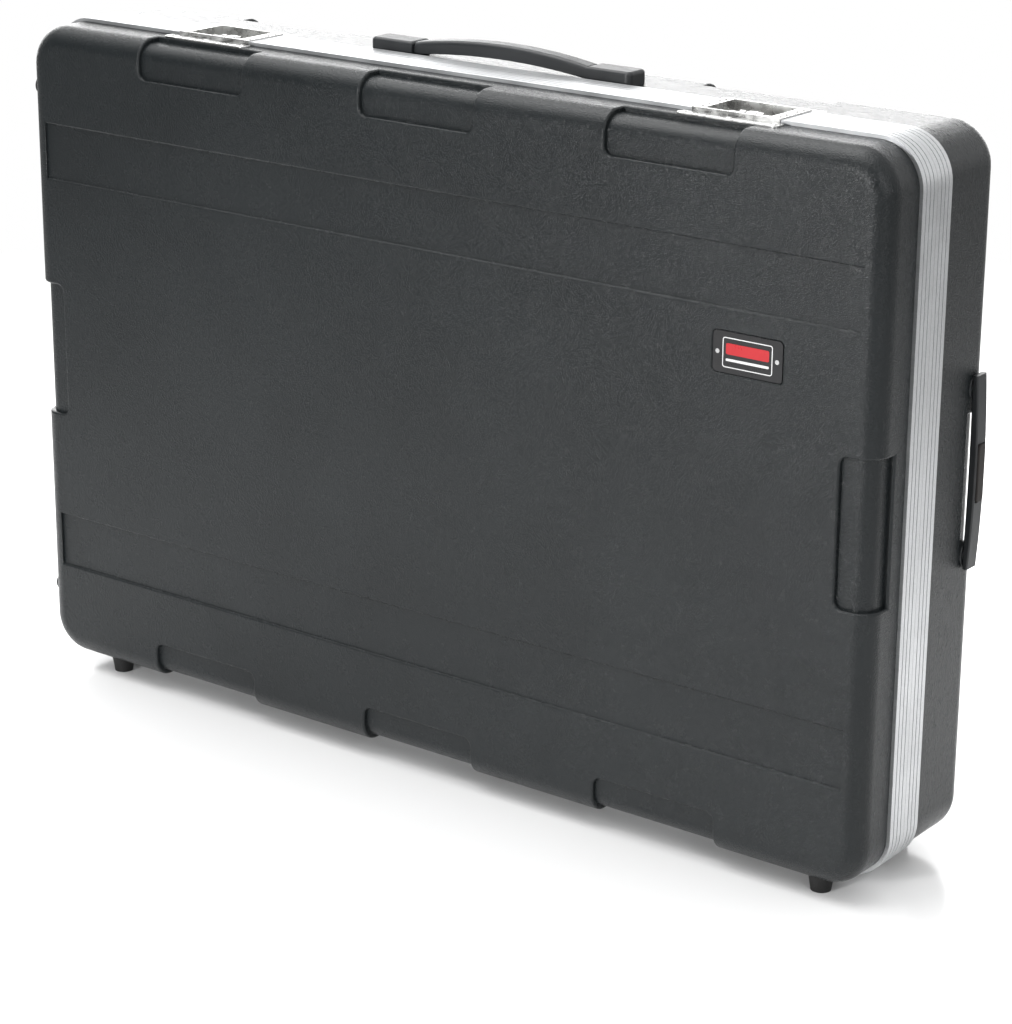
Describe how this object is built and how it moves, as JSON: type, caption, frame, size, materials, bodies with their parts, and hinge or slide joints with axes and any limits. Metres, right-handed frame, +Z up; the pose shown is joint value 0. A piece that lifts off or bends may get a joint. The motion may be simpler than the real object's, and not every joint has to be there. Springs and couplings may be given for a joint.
{
  "type": "mixer case",
  "caption": "Moulded hard case for a mixing desk: shallow hinged lid, aluminium edge, recessed butterfly latches, carry handle, pull-out tow handle, wheels and rubber feet.",
  "frame": {"origin": "on the floor under the middle of the bounding box, with the case standing on its hinged long side", "axes": "+X along the length towards the tow handle, +Y from the lid to the back, +Z up"},
  "size_m": [1.018, 0.193, 0.704],
  "materials": {
    "shell_plastic": "pebble-grained charcoal polyethylene",
    "edge_aluminium": "satin extruded",
    "latch_nickel": "bright nickel plate",
    "rivet_nickel": "nickel plate",
    "hinge_steel": "zinc plated",
    "foam": "open-cell foam",
    "handle_plastic": "fine moulded grain",
    "screw_steel": "zinc plated",
    "button_rubber": "matt",
    "tube_aluminium": "anodised",
    "inner_plastic": "plain moulded",
    "hub_plastic": "moulded",
    "tyre_rubber": "matt rubber",
    "foot_rubber": "matt",
    "badge": "satin",
    "badge_rivet": "polished"
  },
  "bodies": {
    "base": {"base_foam_floor": "foam", "base_foam_walls": "foam", "base_shell": "shell_plastic", "base_valance": "edge_aluminium", "carry_backing_plates": "screw_steel", "carry_cap_left": "handle_plastic", "carry_cap_right": "handle_plastic", "carry_screws": "screw_steel", "feet_base": "foot_rubber", "foot_nuts_base": "screw_steel", "foot_screws_base": "screw_steel", "hinge_1_base_leaf": "hinge_steel", "hinge_2_base_leaf": "hinge_steel", "hinge_3_base_leaf": "hinge_steel", "hinge_pins": "hinge_steel", "hinge_rivets_base": "hinge_steel", "latch_left_base_dish": "latch_nickel", "latch_right_base_dish": "latch_nickel", "latch_rivets_base": "rivet_nickel", "tow_bezels": "handle_plastic", "tow_bracket": "inner_plastic", "tow_cover": "inner_plastic", "tow_outer_tubes": "tube_aluminium", "wheel_axle_lower": "screw_steel", "wheel_axle_upper": "screw_steel", "wheel_housing_lower": "inner_plastic", "wheel_housing_upper": "inner_plastic"},
    "lid": {"badge_plate": "badge", "badge_rivets": "badge_rivet", "feet_lid": "foot_rubber", "feet_lid_end": "foot_rubber", "foot_nuts_lid": "screw_steel", "foot_screws_lid": "screw_steel", "hinge_1_lid_leaf": "hinge_steel", "hinge_2_lid_leaf": "hinge_steel", "hinge_3_lid_leaf": "hinge_steel", "hinge_rivets_lid": "hinge_steel", "latch_left_lid_dish": "latch_nickel", "latch_right_lid_dish": "latch_nickel", "latch_rivets_lid": "rivet_nickel", "lid_foam_pad": "foam", "lid_shell": "shell_plastic", "lid_valance": "edge_aluminium"},
    "latch_left_cam": {"latch_left_cam": "latch_nickel"},
    "latch_left_wing": {"latch_left_wing": "latch_nickel"},
    "latch_left_hook": {"latch_left_hook": "latch_nickel"},
    "latch_right_cam": {"latch_right_cam": "latch_nickel"},
    "latch_right_wing": {"latch_right_wing": "latch_nickel"},
    "latch_right_hook": {"latch_right_hook": "latch_nickel"},
    "carry_grip": {"carry_grip": "handle_plastic"},
    "tow_pull": {"tow_grip": "handle_plastic", "tow_inner_tubes": "tube_aluminium", "tow_button_spring": "screw_steel"},
    "tow_button": {"tow_button": "button_rubber"},
    "wheel_lower": {"wheel_hub_lower": "hub_plastic", "wheel_tyre_lower": "tyre_rubber"},
    "wheel_upper": {"wheel_hub_upper": "hub_plastic", "wheel_tyre_upper": "tyre_rubber"}
  },
  "joints": [
    {"name": "lid_hinge", "type": "hinge", "parent": "base", "child": "lid", "pos_m": [0, -0.0235, 0.0071], "axis": [1, 0, 0], "range_deg": [0, 100]},
    {"name": "latch_left_turn", "type": "hinge", "parent": "base", "child": "latch_left_cam", "pos_m": [-0.291, -0.0225, 0.6822], "axis": [0, 0, 1], "range_deg": [0, 180]},
    {"name": "latch_left_fold", "type": "hinge", "parent": "latch_left_cam", "child": "latch_left_wing", "pos_m": [-0.291, -0.0225, 0.6822], "axis": [-1, 0, 0], "range_deg": [0, 90]},
    {"name": "latch_left_draw", "type": "slide", "parent": "base", "child": "latch_left_hook", "axis": [0, -1, 0], "range_m": [0, 0.00251]},
    {"name": "latch_right_turn", "type": "hinge", "parent": "base", "child": "latch_right_cam", "pos_m": [0.315, -0.0225, 0.6822], "axis": [0, 0, 1], "range_deg": [0, 180]},
    {"name": "latch_right_fold", "type": "hinge", "parent": "latch_right_cam", "child": "latch_right_wing", "pos_m": [0.315, -0.0225, 0.6822], "axis": [-1, 0, 0], "range_deg": [0, 90]},
    {"name": "latch_right_draw", "type": "slide", "parent": "base", "child": "latch_right_hook", "axis": [0, -1, 0], "range_m": [0, 0.00251]},
    {"name": "carry_lift", "type": "slide", "parent": "base", "child": "carry_grip", "axis": [0, 0, 1], "range_m": [0, 0.006]},
    {"name": "tow_slide", "type": "slide", "parent": "base", "child": "tow_pull", "axis": [1, 0, 0], "range_m": [0, 0.35]},
    {"name": "tow_button_press", "type": "slide", "parent": "tow_pull", "child": "tow_button", "axis": [-1, 0, 0], "range_m": [0, 0.002], "stiffness_N_per_m": 600, "springref_m": -0.003, "deforming": ["tow_button_spring"]},
    {"name": "wheel_lower_spin", "type": "hinge", "parent": "base", "child": "wheel_lower", "pos_m": [-0.479, 0.0665, 0.079], "axis": [0, 0, 1], "continuous": true},
    {"name": "wheel_upper_spin", "type": "hinge", "parent": "base", "child": "wheel_upper", "pos_m": [-0.479, 0.0665, 0.619], "axis": [0, 0, 1], "continuous": true}
  ],
  "couplings": [
    {"joint": "latch_left_draw", "follows": "latch_left_turn", "m_per_rad": 0.00079577},
    {"joint": "latch_right_draw", "follows": "latch_right_turn", "m_per_rad": 0.00079577}
  ]
}
